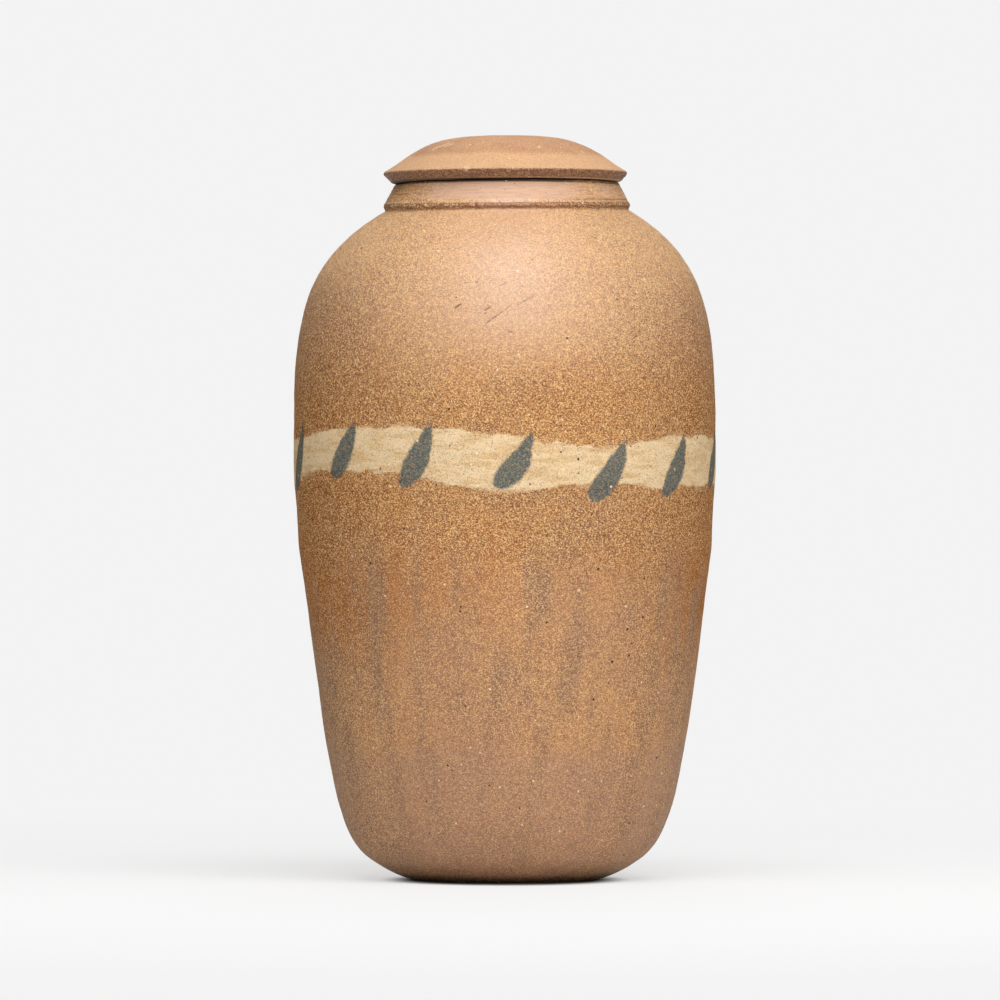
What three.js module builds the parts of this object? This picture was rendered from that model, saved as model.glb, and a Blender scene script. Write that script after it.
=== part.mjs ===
import * as THREE from 'three';

// Covered jar of thrown stoneware, in millimetres, +Z up. The origin is the middle of the foot, on the
// surface that the jar stands on. Both pieces are turned about Z. A profile is a list of points
// (radius, height) that leaves the axis underneath, climbs the outside and comes back to the axis inside.

// How finely the turned surfaces are drawn: steps round the axis, degrees that a curve turns in a step,
// the fewest steps in a curve, the steps in a rounded corner, and the most of an edge that it takes
const turnSteps = 56;
const stepAngle = 5.5;
const fewestSteps = 3;
const cornerSteps = 3;
const cornerShare = 0.45;

// Foot and heel, from the ring that the jar stands on to the foot of the flank
const standRadius = 44;
const standWidth = 8;
const footHollowDepth = 1.6;
const footHollowSlant = 2.2;
const footRollReach = 22;
const footRollHeight = 10.3;
const footRollAngle = 36;
const footRollStart = 4.7;
const footRollEnd = 10.2;
const heelHeight = 92.8;
const heelStart = 16.3;
const heelEnd = 65;

// Flank, belly and shoulder, each with its height, and how far each draws in from the widest turn
const bellyRadius = 102.35;
const bellyHeight = 49.3;
const bellyDrawIn = 2.5;
const bellyLean = 2.3;
const bellyStart = 27.4;
const bellyEnd = 25.9;
const flankHeight = 58;
const flankDrawIn = 7.65;
const shoulderHeight = 113.5;
const shoulderSlope = 30;
const shoulderStart = 56.9;
const shoulderEnd = 48.4;

// Wall, thickest in the floor, with the ridges that the potter's fingers leave inside
const floorThickness = 10;
const shoulderWall = 6.4;
const fingerPitch = 22;
const fingerDepth = 0.7;

// Neck and its collar, from the shoulder to the rim that carries the lid
const neckBoreRadius = 47.4;
const rimThickness = 6.6;
const rimRound = 1.2;
const throatRound = 4;
const collarHeight = 13.2;
const collarFlare = 5.85;
const ridgeHeight = 2.1;
const ridgeBand = 1.4;
const ridgeUndercut = 0.9;
const ridgeLean = 0.6;
const ridgeRound = 0.35;
const grooveHeight = 4.7;
const grooveWidth = 0.9;
const grooveDepth = 0.35;

// Lid, a turned cap with an overhanging bevelled edge and a flange that finds the neck's bore
const lidSeatGap = 0.3;
const flangeClearance = 0.9;
const flangeThickness = 4.6;
const flangeDepth = 11;
const flangeRound = 1.2;
const lidUndersideReach = 1.2;
const lidUndersideRound = 1.5;
const bevelReach = 3.75;
const bevelHeight = 4.1;
const lidEdgeHeight = 1;
const lidEdgeRound = 0.45;
const brimReach = 10.95;
const brimHeight = 7.3;
const brimStartAngle = 29;
const brimEndAngle = 37;
const brimHandle = 4;
const crownHeight = 10.2;
const crownAngle = 33.4;
const crownStart = 18.4;
const crownEnd = 22;
const crownWall = 6.5;
const hollowRound = 3;

// Heights and radii that follow from the sizes above
const heelTop = footRollHeight + heelHeight;
const flankTop = heelTop + flankHeight;
const bellyTop = flankTop + bellyHeight;
const shoulderTop = bellyTop + shoulderHeight;
const rimTop = shoulderTop + collarHeight;
const flankTopRadius = bellyRadius - bellyDrawIn;
const heelTopRadius = flankTopRadius - flankDrawIn;
const collarTopRadius = neckBoreRadius + rimThickness;
const ridgeRadius = collarTopRadius + collarFlare;
const neckRootRadius = ridgeRadius - ridgeUndercut;

const at = (radius, height) => new THREE.Vector2(radius, height);

// A vector of the given length, at an angle in degrees above level, outwards from the axis.
function heading(degrees, length) {
  const angle = THREE.MathUtils.degToRad(degrees);
  return at(Math.cos(angle) * length, Math.sin(angle) * length);
}

// A cubic curve between two points, given the vectors that it leaves and arrives along.
function sweep(start, leaving, arriving, end) {
  return new THREE.CubicBezierCurve(start, start.clone().add(leaving), end.clone().sub(arriving), end);
}

// The points of several curves laid end to end. A straight one is a single step.
function drawn(curves) {
  return curves.flatMap((curve, index) => {
    const turn = THREE.MathUtils.radToDeg(curve.getTangent(0).angleTo(curve.getTangent(1)));
    const steps = curve.isLineCurve ? 1 : Math.max(fewestSteps, Math.ceil(turn / stepAngle));
    return curve.getPoints(steps).slice(index > 0 ? 1 : 0);
  });
}

// A run of straight edges whose corners are worn round. Each corner is a point and the length that its
// rounding takes off either edge, up to almost half of the edge. The first and last corner stay sharp.
function wornEdges(corners) {
  return corners.flatMap(([corner, round], index) => {
    if (!round) return [corner];
    const back = corners[index - 1][0].clone().sub(corner);
    const on = corners[index + 1][0].clone().sub(corner);
    const length = Math.min(round, cornerShare * back.length(), cornerShare * on.length());
    const start = back.setLength(length).add(corner);
    const end = on.setLength(length).add(corner);
    return new THREE.QuadraticBezierCurve(start, corner, end).getPoints(cornerSteps);
  });
}

// A solid turned about Z from its profile.
function turned(name, profile, material) {
  const geometry = new THREE.LatheGeometry(profile, turnSteps);
  geometry.rotateX(Math.PI / 2);
  const mesh = new THREE.Mesh(geometry, material);
  mesh.name = name;
  return mesh;
}

// The outside of the pot from the stand to the root of the neck. The flank is straight, and the heel
// runs into it without a break.
function potOutside() {
  const stand = at(standRadius, 0);
  const rollTop = at(standRadius + footRollReach, footRollHeight);
  const flankFoot = at(heelTopRadius, heelTop);
  const flankHead = at(flankTopRadius, flankTop);
  const belly = at(bellyRadius, bellyTop);
  const neckRoot = at(neckRootRadius, shoulderTop);
  const intoFlank = flankHead.clone().sub(flankFoot).setLength(heelEnd);
  return [
    sweep(stand, heading(0, footRollStart), heading(footRollAngle, footRollEnd), rollTop),
    sweep(rollTop, heading(footRollAngle, heelStart), intoFlank, flankFoot),
    new THREE.LineCurve(flankFoot, flankHead),
    sweep(flankHead, heading(90 - bellyLean, bellyStart), heading(90, bellyEnd), belly),
    sweep(belly, heading(90, shoulderStart), heading(180 - shoulderSlope, shoulderEnd), neckRoot),
  ];
}

// The inside of the wall, from the neck down to the floor: the outside moved inwards along its normal by
// a thickness that grows steadily from shoulder to floor, and by a finger ridge at every second point.
function potInside(outside) {
  const path = new THREE.CurvePath();
  path.curves = outside;
  const steps = 2 * Math.round(path.getLength() / fingerPitch);
  return Array.from({ length: steps + 1 }, (_, index) => {
    const along = 1 - index / steps;
    const tangent = path.getTangent(along);
    const ridge = index % 2 ? fingerDepth : 0;
    const thickness = THREE.MathUtils.lerp(floorThickness, shoulderWall, along) + ridge;
    return path.getPoint(along).add(at(-tangent.y, tangent.x).multiplyScalar(thickness));
  });
}

// The neck, up its collar and down its bore. The collar flares down to a ridge that is undercut where it
// meets the shoulder, with a scored groove just above. The rim is flat and carries the lid, and the bore
// opens into the shoulder's inside at a rounded throat.
function neckEdges(inside) {
  const ridgeTop = at(ridgeRadius - ridgeLean, shoulderTop + ridgeHeight + ridgeBand);
  const collarTop = at(collarTopRadius, rimTop);
  const cone = collarTop.clone().sub(ridgeTop);
  const onCone = (height) => ridgeTop.clone().addScaledVector(cone, (height - ridgeTop.y) / cone.y);
  const groove = shoulderTop + grooveHeight;
  const climb = inside[0].clone().sub(inside[1]);
  const throat = inside[0].clone().addScaledVector(climb, (neckBoreRadius - inside[0].x) / climb.x);
  return wornEdges([
    [at(neckRootRadius, shoulderTop), 0],
    [at(ridgeRadius, shoulderTop + ridgeHeight), ridgeRound],
    [ridgeTop, ridgeRound],
    [onCone(groove - grooveWidth / 2), 0],
    [onCone(groove).sub(at(grooveDepth, 0)), 0],
    [onCone(groove + grooveWidth / 2), 0],
    [collarTop, rimRound],
    [at(neckBoreRadius, rimTop), rimRound],
    [throat, throatRound],
    [inside[0], 0],
  ]);
}

// The pot with its collared neck, thrown in one piece, and the shallow hollow trimmed inside its foot.
function jarBody(material) {
  const outside = potOutside();
  const inside = potInside(outside);
  const hollowRadius = standRadius - standWidth;
  return turned('jar_body', [
    at(0, footHollowDepth),
    at(hollowRadius - footHollowSlant, footHollowDepth),
    at(hollowRadius, 0),
    ...drawn(outside),
    ...neckEdges(inside).slice(1),
    ...inside.slice(1),
    at(0, floorThickness),
  ], material);
}

// The lid: the vault of its hollow underside, the flange, the seat on the rim, the bevel under the
// overhanging edge, then the brim and the low crown on top. The vault follows the crown.
function lid(material) {
  const seat = rimTop + lidSeatGap;
  const flangeOuter = neckBoreRadius - flangeClearance;
  const flangeInner = flangeOuter - flangeThickness;
  const undersideRadius = collarTopRadius + lidUndersideReach;
  const edgeRadius = undersideRadius + bevelReach;
  const edgeTop = at(edgeRadius, seat + bevelHeight + lidEdgeHeight);
  const crownRoot = at(edgeRadius - brimReach, edgeTop.y + brimHeight);
  const apex = at(0, crownRoot.y + crownHeight);
  const brimStart = heading(180 - brimStartAngle, brimHandle);
  const brimEnd = heading(180 - brimEndAngle, brimHandle);
  const top = drawn([
    sweep(edgeTop, brimStart, brimEnd, crownRoot),
    sweep(crownRoot, heading(180 - crownAngle, crownStart), heading(180, crownEnd), apex),
  ]);
  const vaultTop = at(0, apex.y - crownWall);
  const vaultFoot = at(flangeInner, crownRoot.y - crownWall);
  const share = flangeInner / crownRoot.x;
  const vault = drawn([
    sweep(vaultTop, heading(0, crownEnd * share), heading(-crownAngle, crownStart * share), vaultFoot),
  ]);
  const edges = wornEdges([
    [vault.at(-2), 0],
    [vaultFoot, hollowRound],
    [at(flangeInner, seat - flangeDepth), flangeRound],
    [at(flangeOuter, seat - flangeDepth), flangeRound],
    [at(flangeOuter, seat), 0],
    [at(undersideRadius, seat), lidUndersideRound],
    [at(edgeRadius, seat + bevelHeight), lidEdgeRound],
    [edgeTop, lidEdgeRound],
    [top[1], 0],
  ]);
  return turned('lid', [...vault.slice(0, -2), ...edges, ...top.slice(2)], material);
}

const bodyClay = new THREE.MeshStandardMaterial({ color: '#b98c65', roughness: 0.88, metalness: 0 });
const lidClay = new THREE.MeshStandardMaterial({ color: '#d2a681', roughness: 0.85, metalness: 0 });

const jar = new THREE.Group();
jar.add(jarBody(bodyClay));
jar.add(lid(lidClay));

export default jar;
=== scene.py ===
"""Looks of a covered jar of thrown, grogged stoneware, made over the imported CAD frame.

Sizes are in millimetres and are turned to metres once, where a mesh, a lamp or a pattern is made. Z is up
and is the axis of both pieces, and the photographed side faces -Y. A bearing is an angle round the axis
from that side, which grows to the right. A profile is a row of (radius, height) points that leaves the
axis underneath, climbs the outside and comes back to the axis, in the pot over its inside.
"""
import math

import bpy
import numpy as np
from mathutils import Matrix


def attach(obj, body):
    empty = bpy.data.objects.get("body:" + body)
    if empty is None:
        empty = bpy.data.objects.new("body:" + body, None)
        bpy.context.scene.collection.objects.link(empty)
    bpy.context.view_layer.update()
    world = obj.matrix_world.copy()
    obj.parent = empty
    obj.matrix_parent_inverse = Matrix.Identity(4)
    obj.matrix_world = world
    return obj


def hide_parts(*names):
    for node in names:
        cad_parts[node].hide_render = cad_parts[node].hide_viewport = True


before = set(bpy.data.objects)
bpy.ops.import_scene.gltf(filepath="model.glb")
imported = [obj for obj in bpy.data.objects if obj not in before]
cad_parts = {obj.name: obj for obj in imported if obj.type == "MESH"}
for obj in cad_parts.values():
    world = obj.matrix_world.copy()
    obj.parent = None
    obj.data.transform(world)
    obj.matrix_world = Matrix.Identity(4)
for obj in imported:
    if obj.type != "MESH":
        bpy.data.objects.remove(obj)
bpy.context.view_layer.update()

MM = 0.001
FULL_TURN = 2 * math.pi

# Pot outside: corners are (radius, height), and handles are (angle above level, length)
STAND = (44.0, 0.0)
STAND_WIDTH = 8.0
FOOT_HOLLOW_DEPTH = 1.6
FOOT_HOLLOW_SLANT = 2.2
ROLL_START = (0.0, 4.7)
ROLL_END = (36.0, 10.2)
ROLL_TOP = (66.0, 10.3)
HEEL_START = (36.0, 16.3)
HEEL_END = (82.487, 65.0)
HEEL_TOP = (92.2, 103.1)
FLANK_TOP = (99.85, 161.1)
BELLY_START = (87.7, 27.4)
BELLY_END = (90.0, 25.9)
BELLY = (102.35, 210.4)
SHOULDER_START = (90.0, 56.9)
SHOULDER_END = (150.0, 48.4)
NECK_ROOT = (58.95, 323.9)

# Neck: a collar that flares down to an undercut ridge, with a scored groove just above it
RIM_HEIGHT = 337.1
RIM_OUTER = 54.0
BORE_RADIUS = 47.4
RIM_WEAR = 1.2
THROAT_WEAR = 4.0
RIDGE_RADIUS = 59.85
RIDGE_HEIGHT = 326.0
RIDGE_BAND = 1.4
RIDGE_LEAN = 0.6
RIDGE_WEAR = 0.35
GROOVE_HEIGHT = 328.6
GROOVE_WIDTH = 0.9
GROOVE_DEPTH = 0.35

# Wall, thickest in the floor, with the ridges that the potter's fingers leave inside
FLOOR_THICKNESS = 10.0
SHOULDER_WALL = 6.4
FINGER_PITCH = 22.0
FINGER_DEPTH = 0.7

# Lid: vault, flange, seat, bevel under the overhanging edge, brim and low crown
LID_SEAT = 337.4
FLANGE_OUTER = 46.5
FLANGE_INNER = 41.9
FLANGE_FOOT = 326.4
FLANGE_WEAR = 1.2
UNDERSIDE_RADIUS = 55.2
UNDERSIDE_WEAR = 1.5
LID_EDGE_RADIUS = 58.95
LID_EDGE_FOOT = 341.5
LID_EDGE_TOP = 342.5
LID_EDGE_WEAR = 0.45
BRIM_START = (151.0, 4.0)
BRIM_END = (143.0, 4.0)
CROWN_ROOT = (48.0, 349.8)
CROWN_START = (146.6, 18.4)
CROWN_END = (180.0, 22.0)
APEX = (0.0, 360.0)
CROWN_WALL = 6.5
VAULT_WEAR = 3.0

# What the hand left out of true: sideways drift, tilt to one side and lean to the front of the rings at
# some heights, and an oval belly. The drift dies out towards the axis.
DRIFT_HEIGHTS = (0.0, 60.0, 103.0, 190.0, 226.0, 246.0, 270.0, 300.0, 324.0, 337.0, 343.0, 360.0)
DRIFTS = (0.1, 0.5, 0.6, 0.0, 0.0, -0.2, 0.1, 0.3, 0.9, 0.9, 0.1, 0.1)
DRIFT_RADIUS = 20.0
TILT_HEIGHTS = (270.0, 324.0, 337.0, 343.0)
TILTS = (0.0, 0.0065, 0.0088, 0.0045)
LEAN_HEIGHTS = (292.0, 323.0, 328.5, 336.5)
LEANS = (0.0, 0.030, 0.028, 0.0)
OVAL_SHARE = 0.0012
OVAL_BEARING = 35.0

# Points of a curve before it is given its rows, the most of an edge that a worn corner takes, and where
# the lid's worn edge runs into the curve of its brim
CURVE_POINTS = 400
VAULT_POINTS = 60
WORN_POINTS = 5
WORN_SHARE = 0.45
BRIM_JOIN = 40

# Spacing of the mesh's rows by height outside, elsewhere, and of its columns by bearing in degrees
ROW_HEIGHTS = (0, 12, 14, 178, 182, 228, 232, 258, 260, 288, 290, 324)
ROW_STEPS = (2, 2, 3.4, 3.4, 1.6, 1.6, 3, 3, 0.7, 0.7, 1.3, 1.3)
UNDERSIDE_STEP = 5.0
COLLAR_STEP = 0.45
BORE_STEP = 1.5
INSIDE_STEP = 8.0
COLUMN_BEARINGS = (-180, -18, -17, 13, 14, 180)
COLUMN_STEPS = (1.46, 1.46, 0.4, 0.4, 1.46, 1.46)
COLUMN_PRECISION = 0.01
LID_COLUMNS = 600
VAULT_STEP = 4.0
FLANGE_STEP = 1.5
BEVEL_STEP = 0.45
CROWN_STEP = 1.1

# Marks cut or torn into the clay: bearing, height, length, lean above level, half width, depth
POT_MARKS = (
    (-13.3, 275.3, 3.2, 34, 0.38, 0.5),
    (-5.0, 273.9, 2.6, 34, 0.32, 0.35),
    (-5.6, 271.8, 1.3, 28, 0.28, 0.2),
    (-4.1, 268.7, 5.6, 42, 0.14, 0.16),
    (-1.6, 271.4, 14.0, 38, 0.17, 0.2),
    (6.0, 278.0, 10.0, 30, 0.15, 0.18),
    (4.0, 292.0, 3.8, 14, 0.17, 0.16),
    (-0.6, 285.6, 3.6, 20, 0.17, 0.14),
    (-8.4, 286.6, 0.9, 8, 0.33, 0.3),
    (-11.6, 286.4, 1.6, 4, 0.2, 0.2),
    (8.2, 298.2, 0.6, 0, 0.3, 0.3),
    (1.4, 262.8, 1.9, 6, 0.3, 0.2),
    (14.8, 272.2, 0.3, 0, 0.3, 0.3),
    (-25.6, 255.6, 0.8, 10, 0.42, 0.4),
    (-15.6, 245.6, 0.7, 20, 0.4, 0.4),
    (11.2, 240.0, 0.6, 0, 0.36, 0.3),
    (40.5, 131.0, 0.6, 0, 0.75, 0.8),
    (24.8, 181.0, 0.4, 0, 0.5, 0.5),
    (-37.8, 214.2, 1.0, 20, 0.7, 0.4),
    (3.2, 113.6, 0.5, 0, 0.42, 0.4),
    (-152.0, 148.0, 0.6, 0, 0.7, 0.7),
    (121.0, 246.0, 2.2, 24, 0.5, 0.4),
)
LID_MARKS = (
    (-50.0, 354.2, 7.5, 56, 0.75, 0.1),
    (22.5, 353.0, 1.6, 70, 0.5, 0.12),
    (54.0, 351.0, 1.2, 60, 0.55, 0.12),
    (-43.0, 354.6, 4.0, 48, 0.5, 0.08),
)

# A mark is cut this many times as wide as it is coloured, and no narrower than the mesh can hold
MARK_SPREAD = 1.5
MARK_LEAST = 0.6

# Unevenness: seed, spread, radius and length of the waves in mm, and their number. The spread is in mm too,
# but a plain number for the collar's wear and the lid's chips.
HAND_WAVES = (1, 0.09, 90, 42, 40)
HAND_RIPPLES = (2, 0.035, 90, 11, 80)
RIDGE_TEARS = (3, 0.16, 59, 4.2, 160)
COLLAR_WEAR = (5, 0.25, 59, 30, 12)
BAND_WANDER = (11, 1.7, 100, 190, 5)
BAND_SWELL = (12, 1.4, 100, 70, 8)
LID_CHIPS = (21, 1.0, 59, 3.4, 160)
LID_WAVES = (22, 0.07, 50, 26, 40)
BEVEL_TEARS = (23, 0.14, 59, 2.6, 200)
WAVE_LENGTHS = (0.7, 1.4)

# Throwing and scoring on the pot, in mm: heights between which each part of it rises, or rises and falls
# again, its depth, the pitch of its rings and ribs, and how far the groove spreads up and down
GROOVE_SPREAD = 0.3
SKIN_RISE = (0.5, 9.0)
FLANK_FULLNESS = 0.35
FLANK_FULL = (30, 90, 170, 200)
RING_PITCH = 8.3
RING_DEPTH = 0.03
RING_RISE = (210, 290)
RIB_PITCHES = (2.1, 1.37)
RIB_DEPTH = 0.06
RIB_HEIGHTS = (327.6, 329.5, 336.0, 337.0)
RIDGE_LOSS = 0.12
RIDGE_HEIGHTS = (324.2, 324.8, 327.2, 327.7)

# Where the groove was scored, to the right and less to the left, the patch that was pressed smooth, the
# flames, as bearing, spread and strength, which are also painted shade on the left and right flanks, and how
# worn the collar is. Bearings here are in radians.
SCORED_RIGHT = (0.3, 0.7)
SCORED_LEFT = (-0.5, -0.9)
SCORED_LEFT_SHARE = 0.6
SCORED_LEAST = 0.15
PRESSED_BEARING = 0.03
PRESSED_SPREAD = 0.55
PRESSED_RISE = (222, 272)
FLAMES_AND_EDGE_SHADES = ((-1.25, 0.75, 1.0), (1.3, 0.6, 0.9), (2.9, 0.5, 0.3))
FLAME_AND_EDGE_SHADE_HEIGHTS = (72, 138, 266, 312)
WORN_BEARING = -0.05
WORN_RISE = (0.5, 1.0)
WORN_IN_FRONT = 0.3
WORN_MORE = 0.75

# Lid, in mm: where its bevel is torn, where its edge is chipped and from which radius its top is uneven.
# One large chip, placed in degrees, is added to the chips' waves. The clay is cut away where they rise
# through CHIP_CUT, and it is pale where they rise through CHIP_BARE.
BEVEL_TORN_RADII = (55.0, 56.2)
BEVEL_TORN_HEIGHTS = (342.4, 341.6)
EDGE_HEIGHTS = (340.6, 341.8, 342.6, 344.4)
LID_RISE = (10, 30)
CHIP_BEARING = -18.6
CHIP_SPREAD = 1.6
CHIP_SIZE = 3.4
CHIP_DEPTH = 0.4
CHIP_CUT = (1.7, 3.2)
CHIP_BARE = (1.7, 2.4)

# Decoration: a band of slip brushed on round the belly, and slanted dabs of colour laid across it. Each
# dab's place, height, slant, length and half width differ by up to DAB_CHANGES.
BAND_HEIGHT = 203.0
BAND_HALF = 11.5
BAND_EDGE = 1.5
SLIP_THICKNESS = 0.18
DAB_SEED = 7
DAB_COUNT = 14
DAB_LENGTH = 35.0
DAB_HALF = 6.2
DAB_SLANT = 30.0
DAB_BEARING = 2.0
DAB_BOW = 2.2
DAB_CHANGES = (0.06, 2.0, 5.0, 0.08, 0.1)

# Value of a field of distances where it has no meaning, far outside every edge
FAR_OUTSIDE = -200.0


# Shapes worked out as whole arrays

def heading(angle, length):
    """A (radius, height) vector: length times the cosine and the sine of its angle above level."""
    angle = math.radians(angle)
    return np.array((math.cos(angle), math.sin(angle))) * length


def sweep(start, leaving, arriving, end, points=CURVE_POINTS):
    """Cubic curve: four corners weighted by (1-t)^3, 3t(1-t)^2, 3t^2(1-t) and t^3, with t from 0 to 1."""
    t = np.linspace(0, 1, points)[:, None]
    start, end = np.array(start), np.array(end)
    first = start + heading(*leaving)
    second = end - heading(*arriving)
    return start * (1 - t) ** 3 + first * 3 * t * (1 - t) ** 2 + second * 3 * t ** 2 * (1 - t) + end * t ** 3


def distances(path):
    """Distance of each point along its path: the summed lengths of the edges before it."""
    return np.concatenate(([0], np.cumsum(np.linalg.norm(np.diff(path, axis=0), axis=1))))


def paced(path, step):
    """The path with new points a step apart. The step is one number, or one for each old point, and then
    its inverse is summed along the path and the sum is cut into equal parts."""
    along = distances(path)
    density = np.ones(len(path)) / step
    amount = np.concatenate(([0], np.cumsum((density[1:] + density[:-1]) / 2 * np.diff(along))))
    wanted = np.linspace(0, amount[-1], int(np.ceil(amount[-1])) + 1)
    return np.column_stack([np.interp(wanted, amount, axis) for axis in path.T])


def refined(path, step):
    """The path with each edge cut into equal parts that are no longer than the step, corners kept."""
    edges = np.diff(path, axis=0)
    cuts = np.maximum(1, np.ceil(np.linalg.norm(edges, axis=1) / step)).astype(int)
    share = np.concatenate([np.arange(count) / count for count in cuts])[:, None]
    inner = np.repeat(path[:-1], cuts, axis=0) + share * np.repeat(edges, cuts, axis=0)
    return np.vstack((inner, path[-1:]))


def worn(corners):
    """A run of straight edges with worn corners. Each corner is a point and a wear length, and becomes the
    parabola a(1-t)^2 + 2bt(1-t) + ct^2 from a on one edge, past the corner b, to c on the next edge."""
    t = np.linspace(0, 1, WORN_POINTS)[:, None]
    rows = []
    for index, (corner, wear) in enumerate(corners):
        corner = np.array(corner, float)
        if not wear:
            rows.append(corner[None])
            continue
        back = np.array(corners[index - 1][0]) - corner
        on = np.array(corners[index + 1][0]) - corner
        length = min(wear, WORN_SHARE * np.hypot(*back), WORN_SHARE * np.hypot(*on))
        a = corner + back / np.hypot(*back) * length
        c = corner + on / np.hypot(*on) * length
        rows.append(a * (1 - t) ** 2 + corner * 2 * t * (1 - t) + c * t ** 2)
    return np.vstack(rows)


def joined(*paths):
    """Paths laid end to end, without the first point of each one after the first."""
    return np.vstack([path[min(index, 1):] for index, path in enumerate(paths)])


def normals(path):
    """Unit vectors that point out of the clay: the direction of travel, turned a quarter clockwise."""
    travel = np.gradient(path, axis=0)
    travel /= np.linalg.norm(travel, axis=1)[:, None]
    return np.column_stack((travel[:, 1], -travel[:, 0]))


def smooth(values, start, full):
    """Smooth step 3t^2 - 2t^3, where t is the share of the way from start to full, which may lie lower."""
    t = np.clip((values - start) / (full - start), 0, 1)
    return t * t * (3 - 2 * t)


def within(values, start, full, fade, end):
    """1 between full and fade: a smooth step up from start, times a smooth step down to end."""
    return smooth(values, start, full) * smooth(values, end, fade)


def bell(values, middle, spread):
    """exp(-((value - middle) / spread)^2), which is 1 at the middle."""
    return np.exp(-((values - middle) / spread) ** 2)


def waves(kind, along, bearings):
    """Unevenness without a seam: a sum of cosines of (whole turns x bearing + climb x distance along the
    profile + phase), with seeded headings and lengths about the given one, scaled to the given spread."""
    seed, spread, radius, length, count = kind
    random = np.random.default_rng(seed)
    direction = random.uniform(0, FULL_TURN, count)
    number = FULL_TURN / (length * random.uniform(*WAVE_LENGTHS, count))
    phase = random.uniform(0, FULL_TURN, count)[:, None]
    turns = np.round(number * np.cos(direction) * radius)
    climb = np.outer(along, number * np.sin(direction))
    round_axis = np.outer(turns, bearings) + phase
    total = np.cos(climb) @ np.cos(round_axis) - np.sin(climb) @ np.sin(round_axis)
    return spread * total / math.sqrt(count / 2)


def from_mark(mark, path, outside, bearings):
    """Distance in mm of each point of the surface from the middle line of a mark: from the nearest point
    of a leaning segment, on the surface unrolled as (bearing x radius, distance along the profile)."""
    bearing, height, length, lean = mark[:4]
    along = distances(path)
    turn = (bearings - math.radians(bearing) + math.pi) % FULL_TURN - math.pi
    across = turn[None] * path[:, :1]
    up = (along - np.interp(height, path[outside, 1], along[outside]))[:, None]
    lean = math.radians(lean)
    reach = np.clip(across * math.cos(lean) + up * math.sin(lean), -length / 2, length / 2)
    return np.hypot(across - reach * math.cos(lean), up - reach * math.sin(lean))


def marked(marks, path, outside, bearings):
    """Two fields in mm: how deep the marks go, depth x bell of the distance for the deepest, and how far a
    point lies inside the nearest mark's edge, below zero outside it."""
    away = np.array([from_mark(mark, path, outside, bearings) for mark in marks])
    half = np.array([mark[4] for mark in marks])[:, None, None]
    depth = np.array([mark[5] for mark in marks])[:, None, None]
    cut = depth * bell(away, 0, np.maximum(half * MARK_SPREAD, MARK_LEAST))
    return cut.max(0), (half - away).max(0)


def revolved(name, path, bearings, proud, fields):
    """A closed skin: point (radius, height) of the profile, moved out along its normal by the field proud,
    goes to (radius sin(bearing), -radius cos(bearing), height). Rings are then made slightly oval, moved
    sideways by the drift of their height, tilted and leant. The first and last rows shrink to one point
    each. Each of the fields becomes a float attribute of the points."""
    normal = normals(path)
    radius = path[:, :1] + normal[:, :1] * proud
    radius[[0, -1]] = 0
    height = path[:, 1:] + normal[:, 1:] * proud
    oval = 1 - OVAL_SHARE * (1 - np.cos(2 * (bearings - math.radians(OVAL_BEARING))))
    radius = np.minimum(radius * oval, BELLY[0])
    level = path[:, 1:]
    x = radius * np.sin(bearings) + np.interp(level, DRIFT_HEIGHTS, DRIFTS) * smooth(radius, 0, DRIFT_RADIUS)
    y = -radius * np.cos(bearings)
    z = height + np.interp(level, TILT_HEIGHTS, TILTS) * x + np.interp(level, LEAN_HEIGHTS, LEANS) * y
    z = np.minimum(z, APEX[1])
    grid = np.stack((x, y, z), axis=-1)
    rows, columns = grid.shape[0] - 2, grid.shape[1]
    points = np.vstack((grid[:1, 0], grid[1:-1].reshape(-1, 3), grid[-1:, 0])) * MM
    corner = 1 + np.arange(rows * columns).reshape(rows, columns)
    beside = np.roll(corner, -1, axis=1)
    quads = np.stack((corner[:-1], beside[:-1], beside[1:], corner[1:]), axis=-1).reshape(-1, 4)
    last = np.full(columns, len(points) - 1)
    fans = np.concatenate((
        np.column_stack((last * 0, beside[0], corner[0])),
        np.column_stack((last, corner[-1], beside[-1])),
    ))
    mesh = bpy.data.meshes.new(name)
    mesh.vertices.add(len(points))
    mesh.vertices.foreach_set("co", points.ravel())
    mesh.loops.add(quads.size + fans.size)
    mesh.loops.foreach_set("vertex_index", np.concatenate((quads.ravel(), fans.ravel())))
    mesh.polygons.add(len(quads) + len(fans))
    ends = np.cumsum(np.repeat((4, 3), (len(quads), len(fans))))
    mesh.polygons.foreach_set("loop_start", np.concatenate(([0], ends[:-1])))
    mesh.update(calc_edges=True)
    mesh.shade_smooth()
    for label, field in fields.items():
        field = np.broadcast_to(field, grid.shape[:2])
        flat = np.concatenate((field[:1, 0], field[1:-1].ravel(), field[-1:, 0]))
        mesh.attributes.new(label, "FLOAT", "POINT").data.foreach_set("value", flat)
    piece = bpy.data.objects.new(name, mesh)
    bpy.context.scene.collection.objects.link(piece)
    return piece


# The pot

def pot_outside():
    """The outside from stand to neck root: four sweeps and a straight flank, with rows paced by height."""
    path = joined(
        sweep(STAND, ROLL_START, ROLL_END, ROLL_TOP),
        sweep(ROLL_TOP, HEEL_START, HEEL_END, HEEL_TOP),
        np.linspace(HEEL_TOP, FLANK_TOP, CURVE_POINTS),
        sweep(FLANK_TOP, BELLY_START, BELLY_END, BELLY),
        sweep(BELLY, SHOULDER_START, SHOULDER_END, NECK_ROOT),
    )
    return paced(path, np.interp(path[:, 1], ROW_HEIGHTS, ROW_STEPS))


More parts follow.
